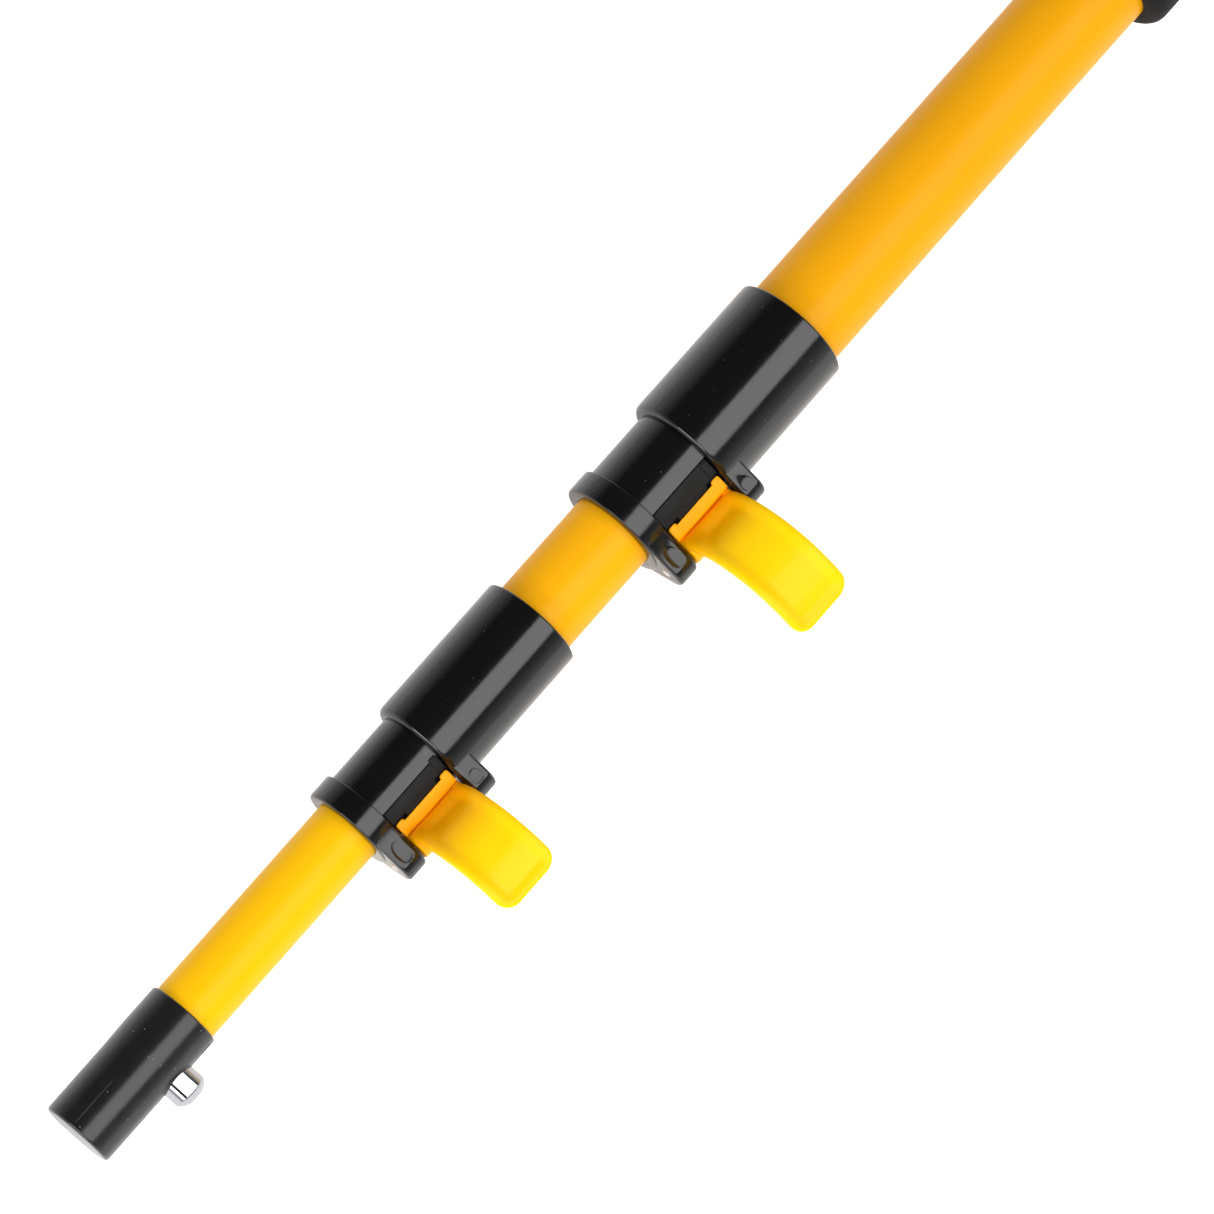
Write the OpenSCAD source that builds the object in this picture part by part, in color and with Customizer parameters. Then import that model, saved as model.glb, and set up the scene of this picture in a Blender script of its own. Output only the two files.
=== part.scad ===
// Three-section telescopic pole with two cam-lever clamps, a foam grip and a snap-button ferrule.
// The pole lies along X: the butt end is at x = 0 and the ferrule points to +X. Z is up.

/* [Lengths] */
// Length of the pole with both stages pushed in
collapsed_len = 460; // [400:1:700]
// Middle tube left showing between the clamps
middle_show = 34.3; // [5:0.1:90]
// Inner tube left showing between the front clamp and the ferrule
inner_show = 67.3; // [5:0.1:120]
// Length of the foam grip
grip_len = 117.1; // [80:0.1:200]
// Length of the ferrule
ferrule_len = 44; // [38:0.5:60]
// Free space between the pushed-in middle tube and the end cap
butt_gap = 3.6; // [1:0.1:20]

/* [Tubes] */
// Outside diameter of the outer tube
outer_od = 30; // [27:0.5:40]
// Wall of each tube
tube_wall = 1; // [0.8:0.1:1.4]
// Step in radius from one tube to the next
tube_step = 2.5; // [2.2:0.1:3.5]
// Length of the guide bush at the rear end of a sliding tube
bush_len = 14; // [8:0.5:24]
// Lip of the guide bush behind its tube
bush_lip = 1.5; // [1:0.1:3]

/* [Grip and cap] */
// Outside diameter of the foam grip
grip_od = 42; // [36:0.5:54]
// Rounding of the grip's edges
grip_round = 4.5; // [1:0.1:5]
// Thickness of the end cap's flange
cap_t = 3; // [2:0.1:6]
// Length of the end cap's plug
plug_len = 13; // [6:0.5:20]
// Wall of the end cap's plug
plug_wall = 2; // [1.5:0.1:4]

/* [Clamps] */
// Length of the sleeve that holds the bigger tube
sleeve_len = 48; // [38:0.5:60]
// Length of the barrel between the sleeve and the collar
barrel_len = 22.5; // [18:0.5:30]
// Length of the collar at the front
collar_len = 7.5; // [6:0.1:10]
// Thickness of the ear on the sleeve
rear_ear_t = 7; // [5:0.1:10]
// Wall of the sleeve
sleeve_wall = 2.8; // [2.2:0.1:5]
// Wall of the barrel
barrel_wall = 2.5; // [2:0.1:4]
// Rise of the collar over the barrel
collar_rise = 1.4; // [0.8:0.1:3]
// Rounding of the sleeve's front edge
sleeve_round = 2; // [0.5:0.1:2.2]
// Rounding of the collar's edges
collar_round = 0.7; // [0.3:0.1:1.5]
// Wall between the tube's end and the sleeve's front face
shoulder_wall = 2; // [1.5:0.1:4]
// Radius of the ears' round ends
ear_r = 5.6; // [4.5:0.1:8]
// Place of the fixing screw from the sleeve's rear edge
screw_x = 13; // [8:0.5:20]

/* [Levers] */
// Height of the lever pin over the barrel's surface
pin_out = 4.4; // [4.2:0.1:8]
// Height of the lever pin over the pole's axis
pin_z = 2.1; // [0:0.1:4]
// Radius of the lever pin
pin_r = 1.5; // [1:0.1:2]
// Radius of the rear lever's outer face
rear_lever_r = 27; // [24:0.5:34]
// Radius of the front lever's outer face
front_lever_r = 23.3; // [21:0.1:30]
// Lean of the rear lever's paddle on its root
rear_lean = -10; // [-14:1:0]
// Lean of the front lever's paddle on its root
front_lean = 0; // [-14:1:0]
// Thickness of a lever's paddle
paddle_t = 3.8; // [3:0.1:6]
// Width of a lever's rim
rim_w = 2.6; // [1.5:0.1:5]
// Depth of the dish between the rims
dish_depth = 1.2; // [0.4:0.1:2]
// Rounding of the paddle's tip corners
tip_round = 5; // [2:0.5:8]
// Reach of a lever's toe from its pin, over the brake shoe
toe_len = 6.9; // [5.5:0.1:7.2]
// Thickness of a lever's toe
toe_t = 1.8; // [1:0.1:2.4]
// Gap between a lever's toe and the brake shoe
toe_gap = 0.3; // [0.2:0.05:0.6]
// Offset of the cam from the pin
cam_offset = 0.3; // [0.1:0.05:0.5]
// Travel of a brake shoe towards its tube
shoe_travel = 0.3; // [0.1:0.05:0.6]

/* [Ferrule and button] */
// Wall of the ferrule
ferrule_wall = 0.8; // [0.6:0.1:2]
// Thickness of the ferrule's end wall
ferrule_end = 3.5; // [2:0.1:6]
// Rounding of the ferrule's edges
ferrule_round = 0.7; // [0.2:0.1:0.8]
// Place of the button from the ferrule's rear edge
button_x = 14.7; // [10:0.1:25]
// Length of plain ferrule between the button's hole and the front land
land_gap = 1; // [0.5:0.1:3]
// Relief of the front land, on the radius
land_step = 0.2; // [0.2:0.05:0.5]
// Radius of the snap button
button_r = 5.5; // [3:0.1:5.6]
// Height of the button over the ferrule
button_out = 6.8; // [2:0.1:7]
// Turn of the button from +Y towards +Z
button_turn = -12; // [-180:1:180]

/* [Clearances] */
// Sliding fit between moving pieces, on the radius
slide_gap = 0.1; // [0.05:0.01:0.2]
// Bonded or pressed fit between fixed pieces, on the radius
bond_gap = 0.05; // [0.02:0.01:0.1]
// Turning fit of a lever on its pin, on the radius
pin_gap = 0.06; // [0.03:0.01:0.1]
// Gap left at each end stop
stop_gap = 0.3; // [0.1:0.05:1]
// Gap beside each lever
lever_gap = 0.5; // [0.3:0.05:1]

/* [Hidden] */
$fn = 96;

tube_color = "orange";
lever_color = "yellow";
plastic_color = "#202020";
steel_color = "silver";

// Radii of the three tubes
outer_r = outer_od / 2;
middle_r = outer_r - tube_step;
inner_r = middle_r - tube_step;

// Places along the pole, from the butt to the tip
clamp_len = sleeve_len + barrel_len + collar_len;
rear_clamp_x = collapsed_len - ferrule_len - 2 * clamp_len - 2 * stop_gap;
front_clamp_x = rear_clamp_x + clamp_len + middle_show;
ferrule_x = front_clamp_x + clamp_len + inner_show;
tip_x = ferrule_x + ferrule_len;
shoulder_x = sleeve_len - shoulder_wall;
plug_end = cap_t + plug_len;

// Each stage slides from its clamp's stop to the shoulder in the clamp behind it
stroke = rear_clamp_x + shoulder_x - stop_gap - bush_len - bush_lip - plug_end - butt_gap;
middle_out = stroke - middle_show + stop_gap;
inner_out = stroke - inner_show + stop_gap;
middle_rear = rear_clamp_x + shoulder_x - stop_gap - bush_len - middle_out;
inner_rear = front_clamp_x + shoulder_x - stop_gap - bush_len - inner_out;

// Brake shoe in the barrel's window: the start of its flat pad, from +Z, and its lower end
pad_start = 28.6;
shoe_low = -25;
shoe_inset = 0.2;
shoe_rest_gap = shoe_travel + slide_gap;
window_play = 3;

// Lever: place of the outer face's centre as a share of its radius, and the paddle's ends
arc_out = 0.861;
arc_down = -0.113;
paddle_tip = 54;
paddle_root = 175;
toe_root = -1.5;
dish_root = 150;
dish_tip = 60;
cam_closed = -170;
cam_r = pin_out + shoe_inset + shoe_travel - slide_gap - cam_offset;
root_w = barrel_len - 2 * lever_gap;

// Share of a radius at which an ear's side lines end, so that they cross the circles cleanly
tangent_cut = 0.995;

// Fixing screw
screw_r = 1.4;
screw_head_r = 2.9;
screw_head_h = 1.5;

// Snap button and its spring, measured from the pole's axis along the button
button_round = 2.7;
button_shell = 1;
flange_extra = 1;
flange_t = 0.9;
strip_t = 0.8;
strip_w = 5;
bend_r = 3.6;
bend_x = -22;
bend_z = -1;
pad_half = 4.5;
bore_r = inner_r - tube_wall;
ferrule_r = inner_r + bond_gap + ferrule_wall;
flange_r = button_r + flange_extra;
flange_top = sqrt(pow(bore_r, 2) - pow(flange_r, 2)) - slide_gap;

// Turns a shape drawn along Z so that it lies along X
module along_x(x = 0) translate([x, 0, 0]) rotate([0, 90, 0]) children();

// Extrudes a section drawn in Y and Z along X
module section_x(x, len) translate([x, 0, 0]) rotate([90, 0, 90]) linear_extrude(len) children();

// Places a shape drawn along Z on the button's axis
module on_button() translate([ferrule_x + button_x, 0, 0]) rotate([button_turn - 90, 0, 0]) children();

module pipe(x, len, r_out, r_in) {
    along_x(x) difference() {
        cylinder(r = r_out, h = len);
        translate([0, 0, -1]) cylinder(r = r_in, h = len + 2);
    }
}

// Half section of a disc or collar from y0 to y1 with rounded outer edges
module round_rim(r, y0, y1, round0, round1) {
    square_r = r - max(round0, round1);
    translate([0, y0]) square([square_r, y1 - y0]);
    translate([0, y0 + round0]) square([r, y1 - y0 - round0 - round1]);
    translate([r - round0, y0 + round0]) circle(round0);
    translate([r - round1, y1 - round1]) circle(round1);
    if (round0 < round1) translate([0, y0]) square([r - round0, y1 - y0 - round1]);
    if (round1 < round0) translate([0, y0 + round0]) square([r - round1, y1 - y0 - round0]);
}

// Section between two angles, wide enough to cut any piece of the clamp
module wedge(a0, a1, r) polygon([[0, 0], for (i = [0 : 4]) r * [cos(a0 + (a1 - a0) * i / 4),
                                                                sin(a0 + (a1 - a0) * i / 4)]]);

// Ear: a round end at the pin, joined to the ring by two lines that just cut into both circles
module ear_section(ring_r, pin) {
    reach = norm(pin);
    aim = atan2(pin[1], pin[0]);
    spread = acos((ring_r - ear_r) / reach);
    low = [cos(aim - spread), sin(aim - spread)];
    high = [cos(aim + spread), sin(aim + spread)];
    ring_cut = ring_r * tangent_cut;
    ear_cut = ear_r * tangent_cut;
    translate(pin) circle(ear_r);
    polygon([ring_cut * low, pin + ear_cut * low, pin + ear_cut * high, ring_cut * high]);
}

function pin_at(slide_r) = [slide_r + barrel_wall + pin_out, pin_z];

// Clamp body: holds the tube of radius hold_r and guides the one of radius slide_r
module clamp_body(x, hold_r, slide_r) {
    sleeve_r = hold_r + sleeve_wall;
    barrel_r = slide_r + barrel_wall;
    collar_r = barrel_r + collar_rise;
    pin = pin_at(slide_r);
    barrel_x = x + sleeve_len;
    collar_x = barrel_x + barrel_len;
    difference() {
        union() {
            along_x(x) rotate_extrude() {
                round_rim(sleeve_r, 0, sleeve_len, 0.6, sleeve_round);
                square([barrel_r, clamp_len - collar_round]);
                round_rim(collar_r, sleeve_len + barrel_len, clamp_len, 0.4, collar_round);
            }
            section_x(barrel_x - rear_ear_t, rear_ear_t) ear_section(barrel_r, pin);
            section_x(collar_x, collar_len - 0.3) ear_section(barrel_r, pin);
        }
        along_x(x - 1) cylinder(r = hold_r + bond_gap, h = shoulder_x + 1);
        along_x(x) cylinder(r = slide_r + slide_gap, h = clamp_len + 1);
        section_x(barrel_x, barrel_len)
            wedge(shoe_low - window_play, 90 - pad_start + window_play, 2 * barrel_r);
        translate([barrel_x - rear_ear_t + 1.5, pin[0], pin[1]]) rotate([0, 90, 0])
            cylinder(r = pin_r + bond_gap, h = clamp_len);
        translate([x + screw_x, 0, -sleeve_r - 1]) cylinder(r = screw_r + bond_gap, h = sleeve_r);
        translate([x + screw_x, 0, -sleeve_r - 1]) cylinder(r = screw_head_r + 0.2, h = screw_head_h + 1.1);
    }
}

// Pan-head screw through the sleeve into the tube's wall, on the underside
module clamp_screw(x, hold_r) {
    sleeve_r = hold_r + sleeve_wall;
    translate([x + screw_x, 0, -sleeve_r]) {
        cylinder(r = screw_head_r, h = screw_head_h);
        cylinder(r = screw_r, h = sleeve_wall + tube_wall - slide_gap);
    }
}

module screw_hole(x, hold_r) {
    translate([x + screw_x, 0, -hold_r - 1]) cylinder(r = screw_r + bond_gap, h = tube_wall + 2);
}

// Root of a lever, drawn round its pin: the toe over the shoe, and the cam, which presses most when closed
module lever_root(slide_r, lean) {
    pin = pin_at(slide_r);
    toe_out = [-toe_len, pad_z(slide_r, pin[0] - toe_len) - pin[1]];
    toe_in = [toe_root, pad_z(slide_r, pin[0] + toe_root) - pin[1]];
    heel_y = toe_gap - pin_out - shoe_inset;
    heel = [heel_y, pad_z(slide_r, pin[0] + heel_y) - pin[1] - toe_t];
    rotate(lean - 180 - cam_closed) translate([cam_offset, 0]) circle(cam_r);
    polygon([toe_out, toe_out - [0, toe_t], heel, [-cam_r / 2, 0], [0, 0], toe_in]);
}

// Paddle of a lever, drawn round its pin: a dished tray along an arc, with a rim and rounded tip corners
module paddle(left, arc_r) {
    reach = arc_r * (arc_out + cos(paddle_tip));
    centre = arc_r * [arc_out, arc_down];
    difference() {
        intersection() {
            section_x(left, root_w) translate(centre) intersection() {
                difference() {
                    circle(arc_r);
                    circle(arc_r - paddle_t);
                }
                wedge(paddle_tip, paddle_root, 2 * arc_r);
            }
            translate([left, -arc_r, -2 * arc_r]) linear_extrude(4 * arc_r) union() {
                square([root_w, arc_r + reach - tip_round]);
                translate([tip_round, 0]) square([root_w - 2 * tip_round, arc_r + reach]);
                for (side = [tip_round, root_w - tip_round])
                    translate([side, arc_r + reach - tip_round]) circle(tip_round);
            }
        }
        section_x(left + rim_w, root_w - 2 * rim_w) translate(centre) intersection() {
            difference() {
                circle(arc_r + 2);
                circle(arc_r - dish_depth);
            }
            wedge(dish_tip, dish_root, 2 * arc_r);
        }
    }
}

// Lever at fully open; lean is the paddle's own angle on its root
module lever(x, slide_r, arc_r, lean) {
    pin = pin_at(slide_r);
    left = x + sleeve_len + lever_gap;
    translate([0, pin[0], pin[1]]) difference() {
        union() {
            section_x(left, root_w) lever_root(slide_r, lean);
            rotate([lean, 0, 0]) paddle(left, arc_r);
        }
        along_x(left - 1) cylinder(r = pin_r + pin_gap, h = root_w + 2);
    }
}

module lever_pin(x, slide_r) {
    pin = pin_at(slide_r);
    pin_x = x + sleeve_len - rear_ear_t + 1.6;
    translate([pin_x, pin[0], pin[1]]) rotate([0, 90, 0]) cylinder(r = pin_r, h = x + clamp_len - pin_x);
}

// Height of the flat pad's plane at y: it touches the barrel at pad_start from +Z
function pad_z(slide_r, y) = let (r = slide_r + barrel_wall)
    r * cos(pad_start) - (y - r * sin(pad_start)) * tan(pad_start);

// Brake shoe: a flat pad beside the lever's toe, a flat for the cam and a hollow for the tube
module brake_shoe(x, slide_r) {
    barrel_r = slide_r + barrel_wall;
    face_y = barrel_r - shoe_inset;
    pad_end = pin_at(slide_r)[0] - toe_len - toe_gap;
    section_x(x + sleeve_len + stop_gap, barrel_len - 2 * stop_gap) difference() {
        polygon([[0, 0], face_y * [1, tan(shoe_low)],
                 [face_y, pad_z(slide_r, face_y) - toe_t - toe_gap],
                 [pad_end, pad_z(slide_r, pad_end) - toe_t - toe_gap],
                 [pad_end, pad_z(slide_r, pad_end)],
                 barrel_r * [sin(pad_start), cos(pad_start)]]);
        circle(slide_r + shoe_rest_gap);
    }
}

// Guide bush at the rear end of a sliding tube, with a lip behind the tube
module guide_bush(x, r, guide_r) {
    pipe(x, bush_len, guide_r - slide_gap, r + bond_gap);
    pipe(x - bush_lip, bush_lip, guide_r - slide_gap, r - tube_wall);
}

module end_cap() color(plastic_color) {
    along_x() rotate_extrude() round_rim(grip_od / 2 - 0.8, 0, cap_t, 1.2, 0.4);
    pipe(cap_t - 0.5, plug_len + 0.5, outer_r - tube_wall - bond_gap, outer_r - tube_wall - plug_wall);
}

module grip_sleeve() color("#2a2a2a") along_x(cap_t + stop_gap) difference() {
    rotate_extrude() round_rim(grip_od / 2, 0, grip_len, 1, grip_round);
    translate([0, 0, -1]) cylinder(r = outer_r + bond_gap, h = grip_len + 2);
}

module outer_tube() color(tube_color) difference() {
    pipe(cap_t, rear_clamp_x + shoulder_x - stop_gap - cap_t, outer_r, outer_r - tube_wall);
    screw_hole(rear_clamp_x, outer_r);
}

module rear_clamp_body() color(plastic_color) clamp_body(rear_clamp_x, outer_r, middle_r);
module rear_clamp_screw() color(steel_color) clamp_screw(rear_clamp_x, outer_r);
module rear_lever() color(lever_color) lever(rear_clamp_x, middle_r, rear_lever_r, rear_lean);
module rear_lever_pin() color(steel_color) lever_pin(rear_clamp_x, middle_r);
module rear_brake_shoe() color(plastic_color) brake_shoe(rear_clamp_x, middle_r);

module middle_guide_bush() color(plastic_color) guide_bush(middle_rear, middle_r, outer_r - tube_wall);

module middle_tube() color(tube_color) difference() {
    pipe(middle_rear, front_clamp_x + shoulder_x - stop_gap - middle_rear, middle_r, middle_r - tube_wall);
    screw_hole(front_clamp_x, middle_r);
}

module front_clamp_body() color(plastic_color) clamp_body(front_clamp_x, middle_r, inner_r);
module front_clamp_screw() color(steel_color) clamp_screw(front_clamp_x, middle_r);
module front_lever() color(lever_color) lever(front_clamp_x, inner_r, front_lever_r, front_lean);
module front_lever_pin() color(steel_color) lever_pin(front_clamp_x, inner_r);
module front_brake_shoe() color(plastic_color) brake_shoe(front_clamp_x, inner_r);

module inner_guide_bush() color(plastic_color) guide_bush(inner_rear, inner_r, middle_r - tube_wall);

module inner_tube() color(tube_color) difference() {
    pipe(inner_rear, tip_x - ferrule_end - stop_gap - inner_rear, inner_r, bore_r);
    on_button() cylinder(r = button_r + slide_gap, h = 2 * inner_r);
}

// Ferrule: the front land, past the button, is the fit for a tool head's socket
module tip_ferrule() color(plastic_color) difference() {
    along_x(ferrule_x) rotate_extrude() {
        round_rim(ferrule_r, 0, ferrule_len, ferrule_round, ferrule_round);
        translate([0, ferrule_round])
            square([ferrule_r + land_step, button_x + button_r + land_gap - ferrule_round]);
    }
    along_x(ferrule_x - 1) cylinder(r = inner_r + bond_gap, h = ferrule_len - ferrule_end + 1);
    on_button() cylinder(r = button_r + slide_gap, h = 2 * inner_r);
}

// Snap button: a pressed cup with a flange that stays inside the tube
module snap_button() color(steel_color) on_button() {
    top = ferrule_r + button_out;
    rotate_extrude() difference() {
        union() {
            translate([0, flange_top - flange_t]) square([flange_r, flange_t]);
            round_rim(button_r, flange_top - flange_t, top, 0.1, button_round);
        }
        translate([0, flange_top - flange_t - 1]) square([button_r - button_shell, top - flange_top]);
    }
}

// Button spring: a strip bent back on itself, one leg under the button and one on the far wall
module button_spring() color(steel_color) on_button() {
    leg_top = flange_top - flange_t - 0.1;
    leg_low = -sqrt(pow(bore_r, 2) - pow(strip_w / 2, 2)) + 0.2;
    rotate([90, 0, 0]) linear_extrude(strip_w, center = true) {
        translate([-pad_half, leg_top - strip_t]) square([2 * pad_half, strip_t]);
        polygon([[bend_x, bend_z + bend_r - strip_t], [-pad_half, leg_top - strip_t],
                 [-pad_half, leg_top], [bend_x, bend_z + bend_r]]);
        translate([bend_x, bend_z]) intersection() {
            difference() {
                circle(bend_r);
                circle(bend_r - strip_t);
            }
            translate([-2 * bend_r, -2 * bend_r]) square([2 * bend_r, 4 * bend_r]);
        }
        polygon([[bend_x, bend_z - bend_r], [pad_half, leg_low],
                 [pad_half, leg_low + strip_t], [bend_x, bend_z - bend_r + strip_t]]);
    }
}

end_cap();
grip_sleeve();
outer_tube();
rear_clamp_body();
rear_clamp_screw();
rear_lever();
rear_lever_pin();
rear_brake_shoe();
middle_guide_bush();
middle_tube();
front_clamp_body();
front_clamp_screw();
front_lever();
front_lever_pin();
front_brake_shoe();
inner_guide_bush();
inner_tube();
tip_ferrule();
snap_button();
button_spring();
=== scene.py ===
"""Telescopic snow tool pole: nested tubes, cam-lever clamps, a foam grip and a snap-button ferrule."""

import math
from types import SimpleNamespace

import bmesh
import bpy
from mathutils import Matrix, Vector, noise


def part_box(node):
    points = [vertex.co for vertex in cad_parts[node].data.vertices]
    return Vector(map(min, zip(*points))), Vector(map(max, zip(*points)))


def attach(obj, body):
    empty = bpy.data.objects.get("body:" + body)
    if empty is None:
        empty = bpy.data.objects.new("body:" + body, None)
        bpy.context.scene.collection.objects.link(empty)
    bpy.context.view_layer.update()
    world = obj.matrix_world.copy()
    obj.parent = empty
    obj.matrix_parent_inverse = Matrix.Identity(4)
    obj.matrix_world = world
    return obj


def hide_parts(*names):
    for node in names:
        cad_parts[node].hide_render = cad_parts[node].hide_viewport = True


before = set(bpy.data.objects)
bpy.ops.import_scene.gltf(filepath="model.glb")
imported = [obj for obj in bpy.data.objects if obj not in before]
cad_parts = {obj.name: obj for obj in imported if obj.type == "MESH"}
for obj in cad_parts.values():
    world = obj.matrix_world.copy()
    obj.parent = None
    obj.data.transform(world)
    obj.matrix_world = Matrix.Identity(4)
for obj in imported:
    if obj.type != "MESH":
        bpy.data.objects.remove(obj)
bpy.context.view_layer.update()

MM = 0.001
AXIS = Vector((1, 0, 0))
UP = Vector((0, 0, 1))
WELD, COARSE_WELD = 1e-7, 1e-6  # metres
TURN_STEPS = 128
FLAT_ANGLE = math.radians(0.4)

# Clamp measures that the boxes of the nodes don't give
BARREL_WALL = 2.5 * MM
COLLAR_RISE = 1.4 * MM
SLEEVE_LEN = 48 * MM
BARREL_LEN = 22.5 * MM
COLLAR_LEN = 7.5 * MM
SHOULDER = 46 * MM
EAR_R = 5.6 * MM
EAR_LEN = 7 * MM
SLEEVE_STEPS = 120
PIN_HOLE_LEN = 50 * MM

# In degrees from +Y, the lever side, towards +Z: the barrel's window, the shoe's foot and its flat pad
WINDOW = (-28.0, 62.8)
SHOE_FOOT = -25.0
PAD_START = 61.4
TONGUE_INSET = 4.9 * MM

# Clamp screw, and the room that it has in the sleeve and the tube
SCREW_X = 13 * MM
SHANK_R, SHANK_HOLE_R, SHANK_HOLE_LEN = 1.4 * MM, 1.45 * MM, 8 * MM
HEAD_R, HEAD_H = 2.9 * MM, 1.5 * MM
RECESS_R, RECESS_LEN = 3.1 * MM, 4 * MM
CROSS_LONG, CROSS_THIN, CROSS_DEPTH = 3.0 * MM, 0.75 * MM, 1.4 * MM

# Lever: the outer arc's centre from the pin as a share of its radius, and the paddle's ends in degrees round it
ARC_OUT, ARC_DOWN = 0.861, -0.113
PADDLE_ROOT, PADDLE_TIP = 172.0, 54.0
PADDLE_T, TIP_THINNING = 3.8 * MM, 0.5 * MM
TIP_ROUND = 5 * MM
TIP_SHARE = 0.22  # of the grid's rows, for the rounded tip

# Paddle's edge, rim and dish. The lobe is the thicker corner on the clamp's collar side of the root.
ROOT_SPAN = (5 * MM, 20 * MM)
LOBE_SPAN = (1 * MM, 7 * MM)
LOBE_RISE = 0.35 * MM
EDGE_ROUND, LOBE_ROUND = 1.0 * MM, 0.9 * MM
RIM_W, LOBE_RIM, SIDE_RIM = 2.5 * MM, 2.4 * MM, 0.4 * MM
DISH, ROOT_DISH = 1.3 * MM, 1.1 * MM

# Lever's root: the cam round the pin, its two cheeks and the toe over the shoe
CAM_R, CAM_SHIFT = 4.5 * MM, 0.3 * MM
CHEEK_R, CHEEK_Y, CHEEK_Z = 4.7 * MM, 0.3 * MM, 0.9 * MM
TOE_LEN = 6.9 * MM
TOE_T = 1.8 * MM
TOE_GAP = 0.3 * MM
TOE_END_W = 3.3 * MM


def polar(radius, degrees):
    angle = math.radians(degrees)
    return Vector((radius * math.cos(angle), radius * math.sin(angle)))


def ramp(value, start, end):
    """0 before start, 1 after end, and a smooth rise between them."""
    t = min(max((value - start) / (end - start), 0.0), 1.0)
    return t * t * (3 - 2 * t)


def rounded(corners, segments=5):
    """Closed outline from (a, b, radius) corners, with an arc in place of each corner that has a radius."""
    points = []
    for i, (a, b, radius) in enumerate(corners):
        here = Vector((a, b))
        if radius <= 0:
            points.append(here)
            continue
        before = (Vector(corners[i - 1][:2]) - here).normalized()
        after = (Vector(corners[(i + 1) % len(corners)][:2]) - here).normalized()
        half = before.angle(after) / 2
        centre = here + (before + after).normalized() * radius / math.sin(half)
        start = here + before * radius / math.tan(half) - centre
        end = here + after * radius / math.tan(half) - centre
        points += [centre + start.slerp(end, k / segments) * radius for k in range(segments + 1)]
    return points


def spun(outline, steps=96, begin=0.0, sweep=360.0):
    """Closed shell of an (x, radius) outline spun about the pole. begin is in degrees from +Y towards +Z."""
    bm = bmesh.new()
    side = polar(1, begin)
    verts = [bm.verts.new((x, r * side.x, r * side.y)) for x, r in outline]
    if sweep < 360:
        bm.faces.new(verts)
    else:
        for i, (x, r) in enumerate(outline):
            if r > COARSE_WELD or outline[i - 1][1] > COARSE_WELD:
                bm.edges.new((verts[i - 1], verts[i]))
    bmesh.ops.spin(
        bm, geom=bm.verts[:] + bm.edges[:] + bm.faces[:], cent=(0, 0, 0), axis=AXIS,
        angle=math.radians(sweep), steps=steps, use_merge=sweep >= 360,
    )
    bmesh.ops.remove_doubles(bm, verts=bm.verts, dist=WELD)
    bmesh.ops.recalc_face_normals(bm, faces=bm.faces)
    return bm


def prism(outline, x0, x1):
    """Closed shell of a (y, z) outline drawn from x0 to x1."""
    bm = bmesh.new()
    face = bm.faces.new([bm.verts.new((x0, y, z)) for y, z in outline])
    grown = bmesh.ops.extrude_face_region(bm, geom=[face])["geom"]
    far = [v for v in grown if isinstance(v, bmesh.types.BMVert)]
    bmesh.ops.translate(bm, verts=far, vec=(x1 - x0, 0, 0))
    bmesh.ops.recalc_face_normals(bm, faces=bm.faces)
    return bm


def rod(radius, length, centre, direction, steps=32, bevel=0.0):
    """Closed cylinder centred at a point along a direction."""
    bm = bmesh.new()
    bmesh.ops.create_cone(
        bm, cap_ends=True, segments=steps, radius1=radius, radius2=radius, depth=length,
        matrix=Matrix.Translation(centre) @ Vector(direction).to_track_quat("Z", "Y").to_matrix().to_4x4(),
    )
    if bevel:
        soften(bm, bevel, 3, 60)
    return bm


def block(size, centre, turn=Matrix.Identity(4), bevel=0.0):
    """Closed box with rounded edges."""
    bm = bmesh.new()
    place = Matrix.Translation(centre) @ turn @ Matrix.Diagonal((*size, 1))
    bmesh.ops.create_cube(bm, size=1, matrix=place)
    if bevel:
        soften(bm, bevel, 3, 60)
    return bm


def soften(bm, width, segments=2, least=30.0):
    """Rounds every edge that turns by more than least degrees."""
    edges = [e for e in bm.edges if len(e.link_faces) == 2 and e.calc_face_angle(0) > math.radians(least)]
    bmesh.ops.bevel(
        bm, geom=edges, offset=width, offset_type="OFFSET", segments=segments, profile=0.5,
        affect="EDGES", clamp_overlap=True, material=-1,
    )
    bmesh.ops.remove_doubles(bm, verts=bm.verts, dist=WELD)
    bmesh.ops.recalc_face_normals(bm, faces=bm.faces)


def linked(name, bm):
    mesh = bpy.data.meshes.new(name)
    bm.to_mesh(mesh)
    bm.free()
    obj = bpy.data.objects.new(name, mesh)
    bpy.context.scene.collection.objects.link(obj)
    return obj


def combined(shells, cuts=()):
    """One closed shell from shells that overlap, with the cuts taken out of it."""
    objects = [linked("shell", bm) for bm in [*shells, *cuts]]
    base = objects[0]
    for k, other in enumerate(objects[1:], 1):
        step = base.modifiers.new("step", "BOOLEAN")
        step.object = other
        step.operation = "UNION" if k < len(shells) else "DIFFERENCE"
        step.solver = "MANIFOLD"
    bpy.context.view_layer.update()
    result = bmesh.new()
    result.from_object(base, bpy.context.evaluated_depsgraph_get())
    for obj in objects:
        mesh = obj.data
        bpy.data.objects.remove(obj)
        bpy.data.meshes.remove(mesh)
    bmesh.ops.remove_doubles(result, verts=result.verts, dist=COARSE_WELD)
    bmesh.ops.dissolve_limit(result, angle_limit=FLAT_ANGLE, verts=result.verts, edges=result.edges)
    return result


def piece(name, bm, finish, body, nodes, crease=32.0):
    """Makes the named piece, which stands for the CAD nodes and rides on the body."""
    obj = linked(name, bm)
    obj.data.materials.append(finish)
    obj.data.shade_smooth()
    obj.data.set_sharp_from_angle(angle=math.radians(crease))
    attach(obj, body)
    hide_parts(*nodes)
    return obj


# ---------------------------------------------------------------- finishes

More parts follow.
